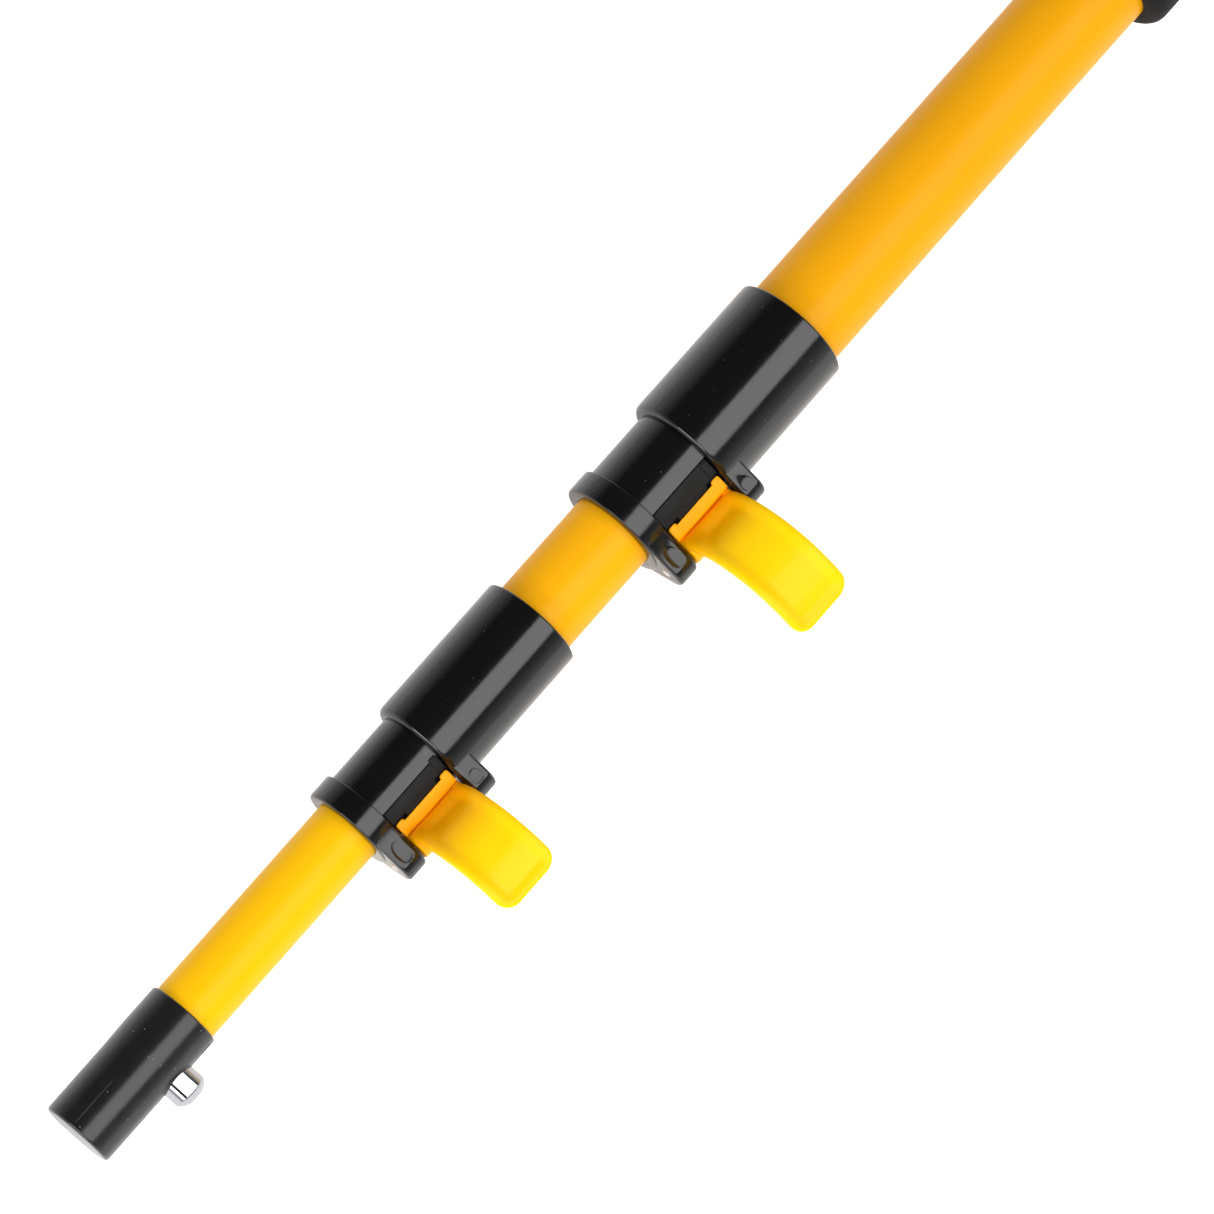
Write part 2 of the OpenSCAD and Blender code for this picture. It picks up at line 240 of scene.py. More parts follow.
# Dust specks: cells per metre, the speck's radius in its cell, and the share of cells that stay clean
SPECK_SCALE, SPECK_R, CLEAN_SHARE = 420.0, 0.075, 0.62
DUST_TINT = (0.5, 0.5, 0.48, 1)
DUST_ROUGHNESS = 0.4
ROOT_SHADE_FADE = (0.014, 0.034)  # metres off the pole's axis, over which the painted shade at a lever's root fades out
UNEVEN_SCALE = 2.7
FOAM_MOTTLE, FOAM_BUMP = 160.0, 0.7
FOAM_ROUGHNESS, FOAM_ROUGHNESS_SPREAD = 0.72, 0.25


def node_group(name, inputs, outputs):
    tree = bpy.data.node_groups.new(name, "ShaderNodeTree")
    for label, kind, value in inputs:
        socket = tree.interface.new_socket(name=label, in_out="INPUT", socket_type="NodeSocket" + kind)
        socket.default_value = value
    for label, kind in outputs:
        tree.interface.new_socket(name=label, in_out="OUTPUT", socket_type="NodeSocket" + kind)
    return tree, tree.nodes.new("NodeGroupInput").outputs, tree.nodes.new("NodeGroupOutput").inputs


def join(tree, target, source):
    """Sets a socket from another socket, or to a plain value."""
    if isinstance(source, bpy.types.NodeSocket):
        tree.links.new(source, target)
    else:
        target.default_value = source


def maths(tree, operation, *values):
    node = tree.nodes.new("ShaderNodeMath")
    node.operation = operation
    for socket, value in zip(node.inputs, values):
        join(tree, socket, value)
    return node.outputs[0]


def cloud(tree, where, scale, detail=3.0, roughness=0.55):
    node = tree.nodes.new("ShaderNodeTexNoise")
    join(tree, node.inputs["Vector"], where)
    join(tree, node.inputs["Scale"], scale)
    node.inputs["Detail"].default_value = detail
    node.inputs["Roughness"].default_value = roughness
    return node.outputs[0]


def blended(tree, factor, one, two):
    node = tree.nodes.new("ShaderNodeMix")
    node.data_type = "RGBA"
    join(tree, node.inputs[0], factor)
    join(tree, node.inputs[6], one)
    join(tree, node.inputs[7], two)
    return node.outputs[2]


def make_moulded_skin():
    """Patches of tint, painted shade at a lever's root, uneven gloss, fine grain, slow waves and a little dust,
    for plastic, paint and metal.
    """
    tree, given, out = node_group(
        "moulded_skin",
        [
            ("Base", "Color", (0.5, 0.5, 0.5, 1)), ("Tint", "Color", (0.5, 0.5, 0.5, 1)),
            ("Patch Scale", "Float", 60.0), ("Patch Amount", "Float", 0.5),
            ("Gloss", "Float", 0.3), ("Gloss Spread", "Float", 0.1),
            ("Grain Scale", "Float", 1500.0), ("Grain Height", "Float", 0.00001),
            ("Wave Scale", "Float", 90.0), ("Wave Height", "Float", 0.00003),
            ("Dust", "Float", 0.0),
            ("Root Tint", "Color", (0.5, 0.5, 0.5, 1)), ("Root Amount", "Float", 0.0),
        ],
        [("Color", "Color"), ("Roughness", "Float"), ("Normal", "Vector")],
    )
    where = tree.nodes.new("ShaderNodeTexCoord").outputs["Object"]
    patch = cloud(tree, where, given["Patch Scale"])
    amount = maths(tree, "MULTIPLY", patch, given["Patch Amount"])
    colour = blended(tree, amount, given["Base"], given["Tint"])
    # Painted shade: near the pole's axis, where a lever's root lies, the colour turns to the root tint. It
    # stands in for the shade and orange interreflection there.
    place = tree.nodes.new("ShaderNodeSeparateXYZ")
    join(tree, place.inputs[0], where)
    root = tree.nodes.new("ShaderNodeMapRange")
    root.interpolation_type = "SMOOTHSTEP"
    join(tree, root.inputs["Value"], place.outputs["Y"])
    for label, value in zip(("From Min", "From Max", "To Min", "To Max"), (*ROOT_SHADE_FADE, 1.0, 0.0)):
        root.inputs[label].default_value = value
    colour = blended(tree, maths(tree, "MULTIPLY", root.outputs["Result"], given["Root Amount"]), colour,
                     given["Root Tint"])
    specks = tree.nodes.new("ShaderNodeTexVoronoi")
    join(tree, specks.inputs["Vector"], where)
    specks.inputs["Scale"].default_value = SPECK_SCALE
    near = maths(tree, "LESS_THAN", specks.outputs["Distance"], SPECK_R)
    pick = tree.nodes.new("ShaderNodeSeparateColor")
    join(tree, pick.inputs[0], specks.outputs["Color"])
    some = maths(tree, "GREATER_THAN", pick.outputs[0], CLEAN_SHARE)
    dust = maths(tree, "MULTIPLY", maths(tree, "MULTIPLY", near, some), given["Dust"])
    join(tree, out["Color"], blended(tree, dust, colour, DUST_TINT))
    uneven_scale = maths(tree, "MULTIPLY", given["Patch Scale"], UNEVEN_SCALE)
    uneven = maths(tree, "SUBTRACT", cloud(tree, where, uneven_scale), 0.5)
    gloss = maths(tree, "ADD", given["Gloss"], maths(tree, "MULTIPLY", uneven, given["Gloss Spread"]))
    join(tree, out["Roughness"], maths(tree, "ADD", gloss, maths(tree, "MULTIPLY", dust, DUST_ROUGHNESS)))
    grain = maths(tree, "MULTIPLY", cloud(tree, where, given["Grain Scale"], 2.0), given["Grain Height"])
    waves = maths(tree, "MULTIPLY", cloud(tree, where, given["Wave Scale"], 1.0), given["Wave Height"])
    bump = tree.nodes.new("ShaderNodeBump")
    bump.inputs["Strength"].default_value = 1.0
    bump.inputs["Distance"].default_value = 1.0
    join(tree, bump.inputs["Height"], maths(tree, "ADD", grain, waves))
    join(tree, out["Normal"], bump.outputs["Normal"])
    return tree


def make_foam_cells():
    """Closed foam cells: dark walls, paler crowns and a pitted surface."""
    tree, given, out = node_group(
        "foam_cells",
        [
            ("Base", "Color", (0.02, 0.02, 0.02, 1)), ("Crown", "Color", (0.05, 0.05, 0.05, 1)),
            ("Cell Scale", "Float", 1400.0), ("Cell Height", "Float", 0.0001),
        ],
        [("Color", "Color"), ("Roughness", "Float"), ("Normal", "Vector")],
    )
    where = tree.nodes.new("ShaderNodeTexCoord").outputs["Object"]
    cells = tree.nodes.new("ShaderNodeTexVoronoi")
    join(tree, cells.inputs["Vector"], where)
    join(tree, cells.inputs["Scale"], given["Cell Scale"])
    mottle = cloud(tree, where, FOAM_MOTTLE, 4.0)
    crown = maths(tree, "MULTIPLY", maths(tree, "SUBTRACT", 1.0, cells.outputs["Distance"]), mottle)
    join(tree, out["Color"], blended(tree, crown, given["Base"], given["Crown"]))
    spread = maths(tree, "MULTIPLY", mottle, FOAM_ROUGHNESS_SPREAD)
    join(tree, out["Roughness"], maths(tree, "ADD", FOAM_ROUGHNESS, spread))
    bump = tree.nodes.new("ShaderNodeBump")
    bump.inputs["Strength"].default_value = FOAM_BUMP
    bump.inputs["Distance"].default_value = 1.0
    join(tree, bump.inputs["Height"], maths(tree, "MULTIPLY", crown, given["Cell Height"]))
    join(tree, out["Normal"], bump.outputs["Normal"])
    return tree


SKIN = make_moulded_skin()
FOAM = make_foam_cells()


def finish(name, tree, effect, **shader_values):
    """A Principled material whose colour, roughness and normal come from an effect group."""
    mat = bpy.data.materials.new(name)
    mat.use_nodes = True
    nodes, links = mat.node_tree.nodes, mat.node_tree.links
    shader = nodes["Principled BSDF"]
    group = nodes.new("ShaderNodeGroup")
    group.node_tree = tree
    for label, value in effect.items():
        group.inputs[label].default_value = value
    links.new(group.outputs["Color"], shader.inputs["Base Color"])
    links.new(group.outputs["Roughness"], shader.inputs["Roughness"])
    links.new(group.outputs["Normal"], shader.inputs["Normal"])
    for label, value in shader_values.items():
        shader.inputs[label.replace("_", " ")].default_value = value
    mat.diffuse_color = effect["Base"]
    return mat


def rgb(r, g, b):
    return (r, g, b, 1)


# Painted light falloff: one orange paint, given darker on the outer tube and lighter on the inner tube, for
# light that falls off from the ferrule end towards the grip. Each tint is for random patches.
TUBE_PAINT_FALLOFF = {
    "outer": (rgb(0.85, 0.375, 0.001), rgb(0.79, 0.335, 0.001)),
    "middle": (rgb(0.89, 0.41, 0.001), rgb(0.85, 0.375, 0.001)),
    "inner": (rgb(0.93, 0.49, 0.0), rgb(0.90, 0.455, 0.0)),
}
tube_paint_falloff = {
    tube_name: finish(
        "tube_paint_falloff_" + tube_name, SKIN,
        {"Base": base, "Tint": tint, "Patch Scale": 45, "Patch Amount": 0.5,
         "Gloss": 0.36, "Gloss Spread": 0.10, "Grain Scale": 1100, "Grain Height": 0.000005,
         "Wave Scale": 130, "Wave Height": 0.000010, "Dust": 0.05},
        Specular_IOR_Level=0.12,
    )
    for tube_name, (base, tint) in TUBE_PAINT_FALLOFF.items()
}
gloss_black = finish(
    "gloss_black_plastic", SKIN,
    {"Base": rgb(0.0022, 0.0022, 0.0024), "Tint": rgb(0.006, 0.006, 0.006),
     "Patch Scale": 90, "Patch Amount": 0.6,
     "Gloss": 0.15, "Gloss Spread": 0.09, "Grain Scale": 2300, "Grain Height": 0.0000022,
     "Wave Scale": 70, "Wave Height": 0.000018, "Dust": 0.16},
    Specular_IOR_Level=0.58,
)
shoe_black = finish(
    "satin_black_plastic", SKIN,
    {"Base": rgb(0.008, 0.008, 0.008), "Tint": rgb(0.014, 0.014, 0.014),
     "Patch Scale": 150, "Patch Amount": 0.6,
     "Gloss": 0.52, "Gloss Spread": 0.12, "Grain Scale": 1900, "Grain Height": 0.000008,
     "Wave Scale": 120, "Wave Height": 0.00001, "Dust": 0.2},
    Specular_IOR_Level=0.15,
)
ferrule_black = finish(
    "ferrule_black_plastic", SKIN,
    {"Base": rgb(0.006, 0.006, 0.006), "Tint": rgb(0.016, 0.016, 0.016),
     "Patch Scale": 160, "Patch Amount": 0.7,
     "Gloss": 0.23, "Gloss Spread": 0.12, "Grain Scale": 1700, "Grain Height": 0.000007,
     "Wave Scale": 120, "Wave Height": 0.00002, "Dust": 0.35},
    Specular_IOR_Level=0.5,
)
yellow_plastic = finish(
    "yellow_plastic", SKIN,
    {"Base": rgb(0.99, 0.62, 0.0), "Tint": rgb(0.98, 0.57, 0.0),
     "Patch Scale": 70, "Patch Amount": 0.5,
     # Painted shade: a deeper orange at the lever's root, fading out away from the pole's axis
     "Root Tint": rgb(0.98, 0.38, 0.0), "Root Amount": 1.0,
     "Gloss": 0.33, "Gloss Spread": 0.12, "Grain Scale": 1500, "Grain Height": 0.000004,
     "Wave Scale": 110, "Wave Height": 0.00001, "Dust": 0.04},
    Subsurface_Weight=0.12, Subsurface_Radius=(0.004, 0.0022, 0.0003), Subsurface_Scale=0.6,
    Specular_IOR_Level=0.15,
)
cap_black = finish(
    "matte_black_plastic", SKIN,
    {"Base": rgb(0.012, 0.012, 0.012), "Tint": rgb(0.02, 0.02, 0.02),
     "Patch Scale": 120, "Patch Amount": 0.6,
     "Gloss": 0.5, "Gloss Spread": 0.15, "Grain Scale": 1300, "Grain Height": 0.000015,
     "Wave Scale": 90, "Wave Height": 0.00002, "Dust": 0.2},
)
foam_black = finish(
    "black_foam", FOAM,
    {"Base": rgb(0.003, 0.003, 0.003), "Crown": rgb(0.014, 0.014, 0.015),
     "Cell Scale": 1500, "Cell Height": 0.00012},
    Specular_IOR_Level=0.15, Sheen_Weight=0.04, Sheen_Roughness=0.5,
)
chrome = finish(
    "chrome", SKIN,
    {"Base": rgb(0.45, 0.45, 0.47), "Tint": rgb(0.36, 0.37, 0.39),
     "Patch Scale": 220, "Patch Amount": 0.5,
     "Gloss": 0.06, "Gloss Spread": 0.05, "Grain Scale": 2600, "Grain Height": 0.0000012,
     "Wave Scale": 260, "Wave Height": 0.000006, "Dust": 0.0},
    Metallic=1.0,
)
plated_steel = finish(
    "plated_steel", SKIN,
    {"Base": rgb(0.62, 0.62, 0.6), "Tint": rgb(0.5, 0.5, 0.48),
     "Patch Scale": 300, "Patch Amount": 0.8,
     "Gloss": 0.24, "Gloss Spread": 0.16, "Grain Scale": 2400, "Grain Height": 0.000004,
     "Wave Scale": 300, "Wave Height": 0.000008, "Dust": 0.1},
    Metallic=1.0,
)

# ---------------------------------------------------------------- tubes, ferrule, button

outer_low, outer_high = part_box("outer_tube")
middle_low, middle_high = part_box("middle_tube")
inner_low, inner_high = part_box("inner_tube")
outer_r, middle_r, inner_r = outer_high.z, middle_high.z, inner_high.z
TUBE_WALL = 1.0 * MM
TUBE_ROUND = 0.25 * MM


def tube(low, high, r):
    return spun(rounded([(low.x, r - TUBE_WALL, TUBE_ROUND), (low.x, r, TUBE_ROUND),
                         (high.x, r, TUBE_ROUND), (high.x, r - TUBE_WALL, TUBE_ROUND)], 3), TURN_STEPS)


def clamp_place(end, hold_r, slide_r):
    """Where a clamp's parts lie, from its nodes' boxes."""
    low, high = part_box(end + "_clamp_body")
    pin_low, pin_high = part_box(end + "_lever_pin")
    lever_low, lever_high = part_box(end + "_lever")
    return SimpleNamespace(
        end=end, x=low.x, hold_r=hold_r, slide_r=slide_r, sleeve_r=high.z, barrel_r=slide_r + BARREL_WALL,
        pin=Vector(((pin_low.y + pin_high.y) / 2, (pin_low.z + pin_high.z) / 2)),
        pin_r=(pin_high.y - pin_low.y) / 2, pin_x=(pin_low.x, pin_high.x), lever_x=(lever_low.x, lever_high.x),
    )


def shank_hole(c, wall_r, steps=32):
    """Cutter for the clamp screw's shank, through a wall of the given outer radius."""
    return rod(SHANK_HOLE_R, SHANK_HOLE_LEN, (c.x + SCREW_X, 0, -wall_r), UP, steps)


rear = clamp_place("rear", outer_r, middle_r)
front = clamp_place("front", middle_r, inner_r)

outer_shell = tube(outer_low, outer_high, outer_r)
piece("outer_tube_painted", combined([outer_shell], [shank_hole(rear, rear.hold_r)]),
      tube_paint_falloff["outer"], "outer_stage", ["outer_tube"])
middle_shell = tube(middle_low, middle_high, middle_r)
piece("middle_tube_painted", combined([middle_shell], [shank_hole(front, front.hold_r)]),
      tube_paint_falloff["middle"], "middle_stage", ["middle_tube"])

button_low, button_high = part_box("snap_button")
BUTTON_TURN = -12.0  # degrees from +Y towards +Z
BUTTON_R = 5.5 * MM
BUTTON_TOP = 17.65 * MM
BUTTON_BORE_R = 4.5 * MM
FLANGE_R, FLANGE_T = 6.5 * MM, 0.9 * MM
button_x = (button_low.x + button_high.x) / 2
button_aim = Vector((0, *polar(1, BUTTON_TURN)))
button_root = Vector((button_x, 0, 0))


def button_hole():
    """Cutter for the button's hole, through one side of the tube and the ferrule."""
    return rod(BUTTON_R + 0.1 * MM, 2 * inner_r, button_root + button_aim * inner_r, button_aim, 64)


piece("inner_tube_painted", combined([tube(inner_low, inner_high, inner_r)], [button_hole()]),
      tube_paint_falloff["inner"], "inner_stage", ["inner_tube"])

ferrule_low, ferrule_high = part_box("tip_ferrule")
FERRULE_END = 3.5 * MM
LAND_X, LAND_DROP = 21.2 * MM, 0.2 * MM
TAPER_LEN, TAPER_ROUND = 9 * MM, 12 * MM
SEAM_ANGLES = (98, 278)
ferrule_r = ferrule_high.z
land_r = ferrule_r - LAND_DROP
bore_r = inner_r + 0.05 * MM
x0, x1 = ferrule_low.x, ferrule_high.x
ferrule_shell = spun(rounded([
    (x0, bore_r, 0), (x0, ferrule_r, 0.7 * MM),
    (x0 + LAND_X - TAPER_LEN, ferrule_r, TAPER_ROUND), (x0 + LAND_X, land_r, TAPER_ROUND),
    (x1, land_r, 1.1 * MM), (x1, 0, 0),
    (x1 - FERRULE_END, 0, 0), (x1 - FERRULE_END, bore_r, 0.3 * MM)], 5), TURN_STEPS)
seams = [block((15 * MM, 0.5 * MM, 0.6 * MM), (x1 - 9 * MM, *polar(land_r - 0.1 * MM, angle)),
               Matrix.Rotation(math.radians(angle - 90), 4, "X"), 0.15 * MM) for angle in SEAM_ANGLES]
slit = block((3.4 * MM, 1.6 * MM, 0.7 * MM), (x0 + 3.6 * MM, ferrule_r * 0.985, 1.6 * MM), bevel=0.1 * MM)
piece("tip_ferrule_moulded", combined([ferrule_shell, *seams], [button_hole(), slit]),
      ferrule_black, "inner_stage", ["tip_ferrule"])

# The button is drawn along the pole's axis, then turned so that it points out of its hole
flange_low = min((v.co - button_root).dot(button_aim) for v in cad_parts["snap_button"].data.vertices)
flange_high = flange_low + FLANGE_T
button_shell = spun(rounded([
    (flange_low, BUTTON_BORE_R, 0), (flange_low, FLANGE_R, 0.2 * MM),
    (flange_high, FLANGE_R, 0.2 * MM), (flange_high, BUTTON_R, 0.15 * MM),
    (BUTTON_TOP - 2.3 * MM, BUTTON_R, 1.2 * MM), (BUTTON_TOP - 1.1 * MM, 4.5 * MM, 0.8 * MM),
    (BUTTON_TOP - 0.15 * MM, 3.1 * MM, 1.5 * MM), (BUTTON_TOP, 0, 0),
    (BUTTON_TOP - 1.9 * MM, 0, 0), (BUTTON_TOP - 1.9 * MM, 3.6 * MM, 0.8 * MM),
    (BUTTON_TOP - 3.2 * MM, BUTTON_BORE_R, 0.8 * MM)], 8), 96)
turn = Matrix.Translation(button_root) @ AXIS.rotation_difference(button_aim).to_matrix().to_4x4()
bmesh.ops.transform(button_shell, matrix=turn, verts=button_shell.verts)
piece("snap_button_chromed", button_shell, chrome, "button", ["snap_button"])

# ---------------------------------------------------------------- grip and end cap

grip_low, grip_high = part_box("grip_sleeve")
grip_r = grip_high.z
GRIP_STEP = 3 * MM

# The foam's surface: waves per metre with their heights, how far it is drawn in, and where that starts
SLOW_WAVES, SLOW_HEIGHT = 70, 0.10 * MM
FAST_WAVES, FAST_HEIGHT = 260, 0.03 * MM
DRAWN_IN = 0.13 * MM
STILL_DEPTH, EASE_DEPTH = 1 * MM, 3 * MM


def grip_outline():
    """The foam's section, with points every few millimetres so that its surface can undulate."""
    inner = outer_r + 0.05 * MM
    corners = rounded([(grip_low.x, inner, 0.4 * MM), (grip_low.x, grip_r, 1.3 * MM),
                       (grip_high.x, grip_r, 4.5 * MM), (grip_high.x, inner, 0.6 * MM)], 8)
    points = []
    for i, point in enumerate(corners):
        last = corners[i - 1]
        parts = max(1, round((point - last).length / GRIP_STEP))
        points += [last.lerp(point, (k + 1) / parts) for k in range(parts)]
    return points


grip = spun(grip_outline(), 144)
for v in grip.verts:
    radial = Vector((0, v.co.y, v.co.z))
    depth = radial.length - outer_r - STILL_DEPTH
    if depth > 0:
        swell = (noise.noise(v.co * SLOW_WAVES) * SLOW_HEIGHT + noise.noise(v.co * FAST_WAVES) * FAST_HEIGHT
                 - DRAWN_IN)
        v.co += radial.normalized() * swell * min(1.0, depth / EASE_DEPTH)
grip_piece = piece("grip_foam", grip, foam_black, "outer_stage", ["grip_sleeve"], 60)

_, cap_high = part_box("end_cap")
CAP_T, CAP_FLOOR = 3 * MM, 2.6 * MM
PLUG_WALL = 2 * MM
plug_r = outer_r - TUBE_WALL - 0.05 * MM
cap = spun(rounded([
    (0.35 * MM, 0, 0), (0.35 * MM, 1.6 * MM, 0.1 * MM), (0, 2.0 * MM, 0.1 * MM), (0, cap_high.z, 1.2 * MM),
    (CAP_T, cap_high.z, 0.4 * MM), (CAP_T, plug_r, 0.2 * MM), (cap_high.x, plug_r, 0.7 * MM),
    (cap_high.x, plug_r - PLUG_WALL, 0.3 * MM), (CAP_FLOOR, plug_r - PLUG_WALL, 0.3 * MM),
    (CAP_FLOOR, 0, 0)], 6), TURN_STEPS)
piece("end_cap_moulded", cap, cap_black, "outer_stage", ["end_cap"])

# ---------------------------------------------------------------- clamps


def ear_outline(pin, ring_r, inner=2.2 * MM):
    """Round end at the pin and two tangent lines to the ring. It closes along an arc inside the ring's wall."""
    reach, aim = pin.length, math.degrees(math.atan2(pin.y, pin.x))
    spread = math.degrees(math.acos((ring_r - EAR_R) / reach))
    low, high = aim - spread, aim + spread
    tip = [pin + polar(EAR_R, low + (high - low) * k / 28) for k in range(29)]
    back = [polar(ring_r - inner, high + (low - high) * k / 12) for k in range(13)]
    return [polar(ring_r, low), *tip, polar(ring_r, high), *back]


def dimple(pin, ring_r, x, y_start, width, length, depth):
    """Cutter for the shallow oval dish in an ear's upper edge: a flattened ball sunk into that edge."""
    reach, aim = pin.length, math.degrees(math.atan2(pin.y, pin.x))
    high = aim + math.degrees(math.acos((ring_r - EAR_R) / reach))
    ring_top, ear_top = polar(ring_r, high), pin + polar(EAR_R, high)
    start = ring_top.lerp(ear_top, (y_start - ring_top.x) / (ear_top.x - ring_top.x))
    along = (ear_top - ring_top).normalized()
    centre = start + along * length / 2 + polar(depth, high)
    spread = 1 / math.sqrt(0.75)
    bm = bmesh.new()
    bmesh.ops.create_uvsphere(
        bm, u_segments=48, v_segments=32, radius=1,
        matrix=Matrix.Translation((x, *centre)) @ Matrix.Rotation(math.radians(high - 90), 4, "X")
        @ Matrix.Diagonal((width / 2 * spread, length / 2 * spread, 2 * depth, 1)),
    )
    return bm


def clamp_body(c):
    """Sleeve on the tube that it holds, barrel with a window for the shoe, collar, and two ears for the pin."""
    sleeve_end, barrel_end = c.x + SLEEVE_LEN, c.x + SLEEVE_LEN + BARREL_LEN
    tip = barrel_end + COLLAR_LEN
    slide, hold = c.slide_r + 0.1 * MM, c.hold_r + 0.05 * MM
    collar_r = c.barrel_r + COLLAR_RISE
    sleeve = spun(rounded([
        (c.x, hold, 0.3 * MM), (c.x, c.sleeve_r, 0.7 * MM), (sleeve_end, c.sleeve_r, 2.0 * MM),
        (sleeve_end, slide, 0.05 * MM), (c.x + SHOULDER, slide, 0), (c.x + SHOULDER, hold, 0)], 6),
        SLEEVE_STEPS)
    barrel = spun([(sleeve_end - 1 * MM, slide + 0.06 * MM), (sleeve_end - 1 * MM, c.barrel_r),
                   (barrel_end + 1 * MM, c.barrel_r), (barrel_end + 1 * MM, slide + 0.06 * MM)],
                  72, WINDOW[1], 360 - WINDOW[1] + WINDOW[0])
    collar = spun(rounded([
        (barrel_end, slide, 0.1 * MM), (barrel_end, collar_r, 0.45 * MM), (tip, collar_r, 0.8 * MM),
        (tip, slide, 0.35 * MM)], 5), SLEEVE_STEPS)
    outline = ear_outline(c.pin, c.barrel_r)
    ears = [prism(outline, sleeve_end - EAR_LEN, sleeve_end), prism(outline, barrel_end, tip - 0.3 * MM)]
    for ear in ears:
        soften(ear, 1.1 * MM, 4, 50)
    dimples = [dimple(c.pin, c.barrel_r, x=barrel_end + 3.6 * MM, y_start=c.pin.x - 4.4 * MM,
                      width=4.4 * MM, length=7.8 * MM, depth=0.4 * MM),
               dimple(c.pin, c.barrel_r, x=sleeve_end - 3.4 * MM, y_start=c.pin.x - 1.6 * MM,
                      width=4.0 * MM, length=5.0 * MM, depth=0.3 * MM)]
    end_slit = block((2.6 * MM, 1.6 * MM, 0.5 * MM),
                     (barrel_end + 4.4 * MM, c.pin.x + EAR_R, c.pin.y - 0.6 * MM), bevel=0.08 * MM)
    pin_hole = rod(c.pin_r + 0.05 * MM, PIN_HOLE_LEN, (c.pin_x[0] + PIN_HOLE_LEN / 2 - 0.1 * MM, *c.pin),
                   AXIS, 40)
    shank = shank_hole(c, c.sleeve_r, 40)
    recess = rod(RECESS_R, RECESS_LEN, (c.x + SCREW_X, 0, -c.sleeve_r - 0.4 * MM), UP, 48)
    bore = rod(hold - 0.01 * MM, SHOULDER, (c.x + SHOULDER / 2 - 0.02 * MM, 0, 0), AXIS, SLEEVE_STEPS)
    return combined([sleeve, barrel, collar, *ears], [*dimples, end_slit, pin_hole, shank, recess, bore])


def pad_height(c, y):
    """Height of the shoe's flat pad at y: a plane that touches the barrel at PAD_START."""
    touch = polar(c.barrel_r, PAD_START)
    return touch.y - (y - touch.x) / math.tan(math.radians(PAD_START))


def brake_shoe(c):
    """Shoe in the barrel's window, with a flat pad, a tongue under the lever's toe and a small lug."""
    x0, x1 = c.x + SLEEVE_LEN + 0.3 * MM, c.x + SLEEVE_LEN + BARREL_LEN - 0.3 * MM
    hollow = c.slide_r + 0.4 * MM
    face_y = c.barrel_r - 0.2 * MM
    pad_end = c.pin.x - TOE_LEN - TOE_GAP
    under = TOE_T + TOE_GAP
    inner = [polar(hollow, PAD_START + (SHOE_FOOT - PAD_START) * k / 16) for k in range(17)]
    outline = [polar(c.barrel_r - 0.05 * MM, PAD_START), *inner,
               (face_y, face_y * math.tan(math.radians(SHOE_FOOT))), (face_y, pad_height(c, face_y) - under),
               (pad_end, pad_height(c, pad_end) - under), (pad_end, pad_height(c, pad_end))]
    body = prism(outline, x0, x1)
    soften(body, 0.3 * MM, 2, 40)
    root, reach = pad_end - 2 * MM, pad_end + 1.0 * MM
    tongue = prism([(root, pad_height(c, root) - 0.02 * MM), (reach, pad_height(c, reach) - 0.02 * MM),
                    (reach, pad_height(c, reach) - under - 0.2 * MM), (root, pad_height(c, root) - under)],
                   x0 + TONGUE_INSET, x1 - TONGUE_INSET)
    soften(tongue, 0.25 * MM, 2, 40)
    lug_y = (c.pin.x - 11.6 * MM, c.pin.x - 7.6 * MM)
    lug = prism([(y, pad_height(c, y) + h) for y, h in
                 ((lug_y[0], -0.8 * MM), (lug_y[1], -0.8 * MM), (lug_y[1], 0.45 * MM), (lug_y[0], 0.45 * MM))],
                x0 + 0.02 * MM, x0 + 2.6 * MM)
    soften(lug, 0.3 * MM, 3, 40)
    return combined([body, tongue, lug])


